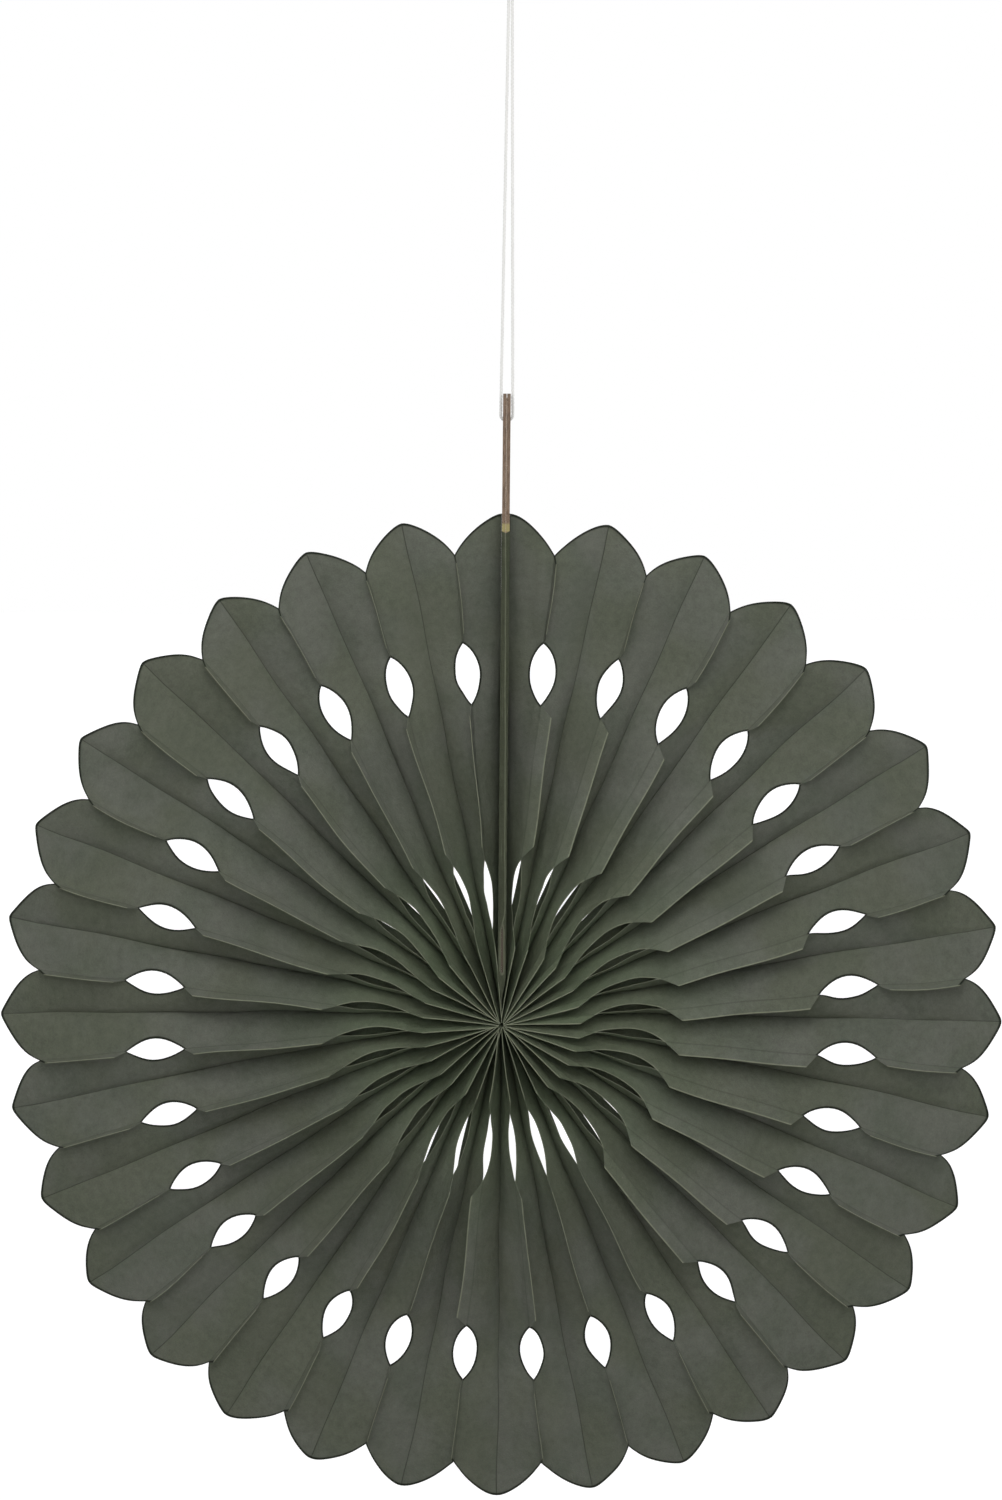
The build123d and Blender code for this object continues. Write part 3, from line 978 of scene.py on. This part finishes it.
def tissue_finish():
    """Dyed tissue: clouds, punched edges, painted fold and hub shade, painted edge highlights,
    crinkled relief.
    """
    tissue, shader, start = new_material("tissue_paper")
    flat = start.node("ShaderNodeAttribute", {"attribute_name": "flat"}, output=1)
    edges = start.node("ShaderNodeAttribute", {"attribute_name": "edges"}, output=1)
    across, along, number = flat.parts()
    to_free_edge, to_petal_edge, _ = edges.parts()
    flat_place = {0: across, 1: along, 2: number * LEAF_SEED}
    leafwise = start.node("ShaderNodeCombineXYZ", inputs=flat_place)
    fan_leaf = number.smooth(LAST_LEAF + 0.2, LAST_LEAF + 0.4, 1, 0)

    clouds = start.noise(leafwise, CLOUD_SCALE, 4, 0.6)
    mottle = start.noise(leafwise, MOTTLE_SCALE, 3, 0.6)
    grain = start.noise(leafwise, GRAIN_SCALE, 2, 0.7)
    dye = start.mix(clouds.smooth(0.36, 0.64), MAIN_DYE, LIGHT_DYE)
    # Painted shade: a greener tint towards the hub, where the pleats stand deep on edge.
    dye = start.mix(along.smooth(20, 115, 0.8, 0), dye, HUB_SHADE_TINT)
    broad = start.noise(leafwise, BROAD_SCALE, 2, 0.5)
    dye = start.mix(broad.smooth(0.42, 0.62, 0, 0.5), dye, OLIVE_DYE)
    dye = start.mix(fan_leaf, CARD_DYE, dye)
    tone = 0.55 + mottle * 0.44 + grain * 0.48
    shade = start.node("ShaderNodeCombineXYZ", inputs={0: tone, 1: tone, 2: tone})
    dye = start.mix(1.0, dye, shade, "MULTIPLY")

    # Painted shade: dark lines in the back-fold valleys and, fainter, along the front folds.
    valley_shade = abs(across - LEAF_WIDTH / MM).smooth(0.1, 0.4, 1, 0) * along.smooth(60, 130)
    crease = abs(across).smooth(0.1, 0.6, 1, 0)
    dye = start.mix((valley_shade * 0.6 + crease * 0.25) * fan_leaf * (0.4 + mottle), dye, EDGE_DYE_AND_FOLD_SHADE)

    lens = arc_distance(across, along, HOLE_RADIUS, HOLE_LENGTH, HOLE_DEPTH)
    lens_line = lens.smooth(0.5, 1.1, 1, 0) * across.smooth(-0.4, 0, 0, 1)
    petal_line = to_petal_edge.smooth(0.6, 1.3, 1, 0)
    punched = start.math("MAXIMUM", lens_line, petal_line) * fan_leaf
    dye = start.mix(punched, dye, EDGE_DYE_AND_FOLD_SHADE)

    # Painted highlights: pale lines along the slits' edges and the strips' free edges.
    slit = arc_distance(across, along, SLIT_RADIUS, SLIT_LENGTH, SLIT_DEPTH)
    slit_highlight = slit.smooth(0.2, 0.7, 1, 0) * across.smooth(-0.4, 0, 0, 1) * fan_leaf
    free_edge_highlight = to_free_edge.smooth(0.25, 0.7, 1, 0) * (0.35 + 0.35 * fan_leaf)
    pale = start.math("MAXIMUM", slit_highlight * 0.6, free_edge_highlight) * (0.5 + mottle)
    dye = start.mix(pale, dye, EDGE_HIGHLIGHT)

    crinkle = start.noise(leafwise, CRINKLE_SCALE, 5, 0.6)
    bump = start.bump(crinkle + grain * 0.08, 0.5, 1.2 * MM)
    feed(tissue.node_tree, shader, Base_Color=dye, Normal=bump, Roughness=0.82)
    feed(tissue.node_tree, shader, Specular_IOR_Level=0.08, Subsurface_Weight=1)
    feed(tissue.node_tree, shader, Subsurface_Radius=(1, 1, 1), Subsurface_Scale=0.15 * MM)
    return tissue


def dress(piece, finish):
    """Gives a piece one finish all over."""
    piece.data.materials.clear()
    piece.data.materials.append(finish)


tissue = tissue_finish()
for piece in leaves + [left_cover, right_cover]:
    dress(piece, tissue)
    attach(piece, "root")
    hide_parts("tissue_fan")
print("tissue on", len(leaves) + 2, "leaves, with", len(tissue.node_tree.nodes), "nodes")

# %% [markdown]
# The end cards are punched from greyboard, so the photograph shows their cut edges: brown, with
# fibres that run up and down them. Just above where the tissue ends the card has a narrow
# yellow-green band, and under the tissue it is darkened with painted shade.
# Their solids already have the right shape, so they stay and only get this finish. Noise that is
# stretched along Z makes the fibres, and finer noise the flecks.

# %% The end cards' finish
BOARD = (0.185, 0.128, 0.088, 1)
BOARD_DARK = (0.10, 0.066, 0.045, 1)
BOARD_PALE = (0.33, 0.27, 0.21, 1)
# Painted shade colour for the card, tape and glue under the tissue.
SHADE_UNDER_TISSUE = (0.034, 0.028, 0.016, 1)
YELLOW_GREEN_TINT = (0.30, 0.27, 0.10, 1)
FIBRE_SCALE, FIBRE_STRETCH, FLECK_SCALE = 2600, 0.12, 900


def board_finish():
    """Greyboard with fibres and flecks, a yellow-green band at the tissue's end, painted shade under
    it.
    """
    board, shader, start = new_material("greyboard")
    place = start.node("ShaderNodeTexCoord", output=3)
    x, y, z = place.parts()
    stretched = start.node("ShaderNodeCombineXYZ", inputs={0: x, 1: y, 2: z * FIBRE_STRETCH})
    fibre = start.noise(stretched, FIBRE_SCALE, 3, 0.6)
    flecks = start.noise(place, FLECK_SCALE, 3, 0.7)
    tone = start.mix(fibre.smooth(0.35, 0.62), BOARD_DARK, BOARD)
    tone = start.mix(flecks.smooth(0.6, 0.75, 0, 0.6), tone, BOARD_PALE)
    above = z - (HUB_HEIGHT + SHOULDER)
    # A narrow yellow-green tint on the card just above the shoulder, where the tissue ends.
    tint_band = abs(above - 1.2 * MM).smooth(1 * MM, 2.2 * MM, 0.7, 0)
    tone = start.mix(tint_band, tone, YELLOW_GREEN_TINT)
    # Painted shade: under the tissue, below the shoulder, the card is darkened almost to black.
    tone = start.mix(above.smooth(-3 * MM, 0, 0.85, 0), tone, SHADE_UNDER_TISSUE)
    bump = start.bump(fibre + flecks * 0.5, 0.4, 0.3 * MM)
    feed(board.node_tree, shader, Base_Color=tone, Roughness=0.9, Normal=bump)
    return board


board = board_finish()
for name in ("end_card_left", "end_card_right"):
    dress(bpy.data.objects[name], board)
print("greyboard with", len(board.node_tree.nodes), "nodes")

# %% [markdown]
# The tape between the cards is paper with glue on both faces. It hardly shows, because it ends short
# of the cards' front edges. Its finish is for the glue in front of it too, a thin line speckled with
# dust and card fibres, which is darkened with painted shade under the tissue, as the cards are.

# %% The tape between the cards
TAPE_DARK = (0.22, 0.17, 0.125, 1)
TAPE_PALE = (0.36, 0.30, 0.235, 1)
SPECKLE_SCALE = 1500

tape_finish, shader, start = new_material("paper_tape")
place = start.node("ShaderNodeTexCoord", output=3)
speckle = start.mix(start.noise(place, SPECKLE_SCALE), TAPE_DARK, TAPE_PALE)
above = place.parts()[2] - (HUB_HEIGHT + SHOULDER)
# Painted shade: under the tissue, the tape and glue are darkened almost to black.
speckle = start.mix(above.smooth(-3 * MM, 0, 0.95, 0), speckle, SHADE_UNDER_TISSUE)
feed(tape_finish.node_tree, shader, Base_Color=speckle, Roughness=0.5)
dress(bpy.data.objects["card_tape"], tape_finish)
print("tape with", len(tape_finish.node_tree.nodes), "nodes")

# %% [markdown]
# Glue that was pressed out of the tape closes the thin gap between the two cards. It is a flat sheet
# in the fan's middle plane that keeps just inside the cards' outline, and Solidify makes it as thick
# as the gap.

# %% The glue in front of the tape
GLUE_LINE = 0.18 * MM
EDGE_INSET = 0.1 * MM
TAB_HALF = 8 * MM
TAB_CORNER = 5 * MM


def glue_line():
    """The glue that closes the gap between the cards from their front edges back to the tape."""
    top = card_high.z - HUB_HEIGHT
    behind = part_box("card_tape")[0].y - EDGE_INSET
    outline = [
        (card_low.y + EDGE_INSET, CARD_START + EDGE_INSET),
        (card_low.y + EDGE_INSET, SHOULDER),
        (EDGE_INSET - TAB_HALF, FAN_RADIUS),
        (EDGE_INSET - TAB_HALF, top - TAB_CORNER),
        (behind, top - TAB_CORNER / 3),
        (behind, CARD_START + EDGE_INSET),
    ]
    corners = [(0, y, z + HUB_HEIGHT) for y, z in outline]
    line = new_piece("card_glue_line", corners, [tuple(range(len(corners)))])
    apply_modifier(line, "SOLIDIFY", thickness=GLUE_LINE, offset=0)
    dress(line, tape_finish)
    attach(line, "root")
    return line


print("glue line", [round(side / MM, 1) for side in glue_line().dimensions], "mm")

# %% [markdown]
# The string is white cotton. Its strands are real shapes already, so its finish only needs the
# fibres: fine noise that mixes two whites and raises a little fuzz.

# %% The string's finish
STRING_GREY = (0.62, 0.62, 0.6, 1)
STRING_WHITE = (0.88, 0.88, 0.86, 1)
COTTON_SCALE = 3000

cotton, shader, start = new_material("white_string")
place = start.node("ShaderNodeTexCoord", output=3)
fibres = start.noise(place, COTTON_SCALE, 3, 0.7)
white = start.mix(fibres, STRING_GREY, STRING_WHITE)
fuzz = start.bump(fibres, 0.5, 0.1 * MM)
feed(cotton.node_tree, shader, Base_Color=white, Roughness=0.75, Normal=fuzz)
for piece in (string, knot):
    dress(piece, cotton)
    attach(piece, "root")
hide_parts("hanging_string")
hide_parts("string_knot")

# %% [markdown]
# The ground is white all over, and the light is soft and even, with a little more of it from above
# and in front. The world and the floor are plain white to the camera and grey to everything else,
# so that they light the fan at a plain level. The floor is far below, because the fan hangs.

# %% The white ground
FLOOR_DROP = 0.6
FLOOR_SIZE = 30
FLOOR_GREY = (0.4, 0.4, 0.4, 1)
FLOOR_GLOW = (0.83, 0.83, 0.83, 1)
WORLD_LIGHT = (0.5, 0.5, 0.5, 1)
WHITE = (1, 1, 1, 1)
BLACK = (0, 0, 0, 1)


def seen_directly(values):
    """One for a ray that the camera sees straight, in a mirror or through glass, and else nothing."""
    outputs = values.node("ShaderNodeLightPath").socket.node.outputs
    kinds = ("Camera", "Glossy", "Transmission")
    camera_ray, glossy_ray, glass_ray = (
        Value(values.tree, outputs[f"Is {kind} Ray"]) for kind in kinds
    )
    return values.math("MAXIMUM", values.math("MAXIMUM", camera_ray, glossy_ray), glass_ray)


world = bpy.data.worlds.new("studio")
world.use_nodes = True
bpy.context.scene.world = world
sky = Value(world.node_tree)
background = world.node_tree.nodes["Background"]
sky_colour = sky.mix(seen_directly(sky), WORLD_LIGHT, WHITE)
world.node_tree.links.new(sky_colour.socket, background.inputs[0])

bpy.ops.mesh.primitive_plane_add(size=FLOOR_SIZE, location=(0, 0, cad_box[0].z - FLOOR_DROP))
floor = bpy.context.object
floor.name = "floor"
pale, shader, start = new_material("pale_floor")
glow = start.mix(seen_directly(start), BLACK, FLOOR_GLOW)
feed(pale.node_tree, shader, Base_Color=FLOOR_GREY, Roughness=0.9)
feed(pale.node_tree, shader, Emission_Color=glow, Emission_Strength=1)
dress(floor, pale)
print("floor", FLOOR_DROP, "m below the fan")

# %% [markdown]
# Two square lamps add the light from in front: a broad one well away, which reaches into the pleats,
# and a nearer one above the fan, which draws the folds. The camera doesn't see them.


# %% The lamps
def soft_lamp(name, place, target, size, power):
    """A square lamp of soft light at a place, turned to a target."""
    lamp_data = bpy.data.lights.new(name, "AREA")
    lamp_data.size = size
    lamp_data.energy = power
    lamp = add_object(name, lamp_data)
    lamp.location = place
    lamp.rotation_euler = (Vector(target) - Vector(place)).to_track_quat("-Z", "Y").to_euler()
    lamp.visible_camera = False
    print(name, power, "W")


middle = (0, 0, HUB_HEIGHT)
soft_lamp("front_fill", (0, -1.4, -0.2), middle, size=0.6, power=5)
soft_lamp("key", (0, -0.62, 0.04), middle, size=0.45, power=2.8)
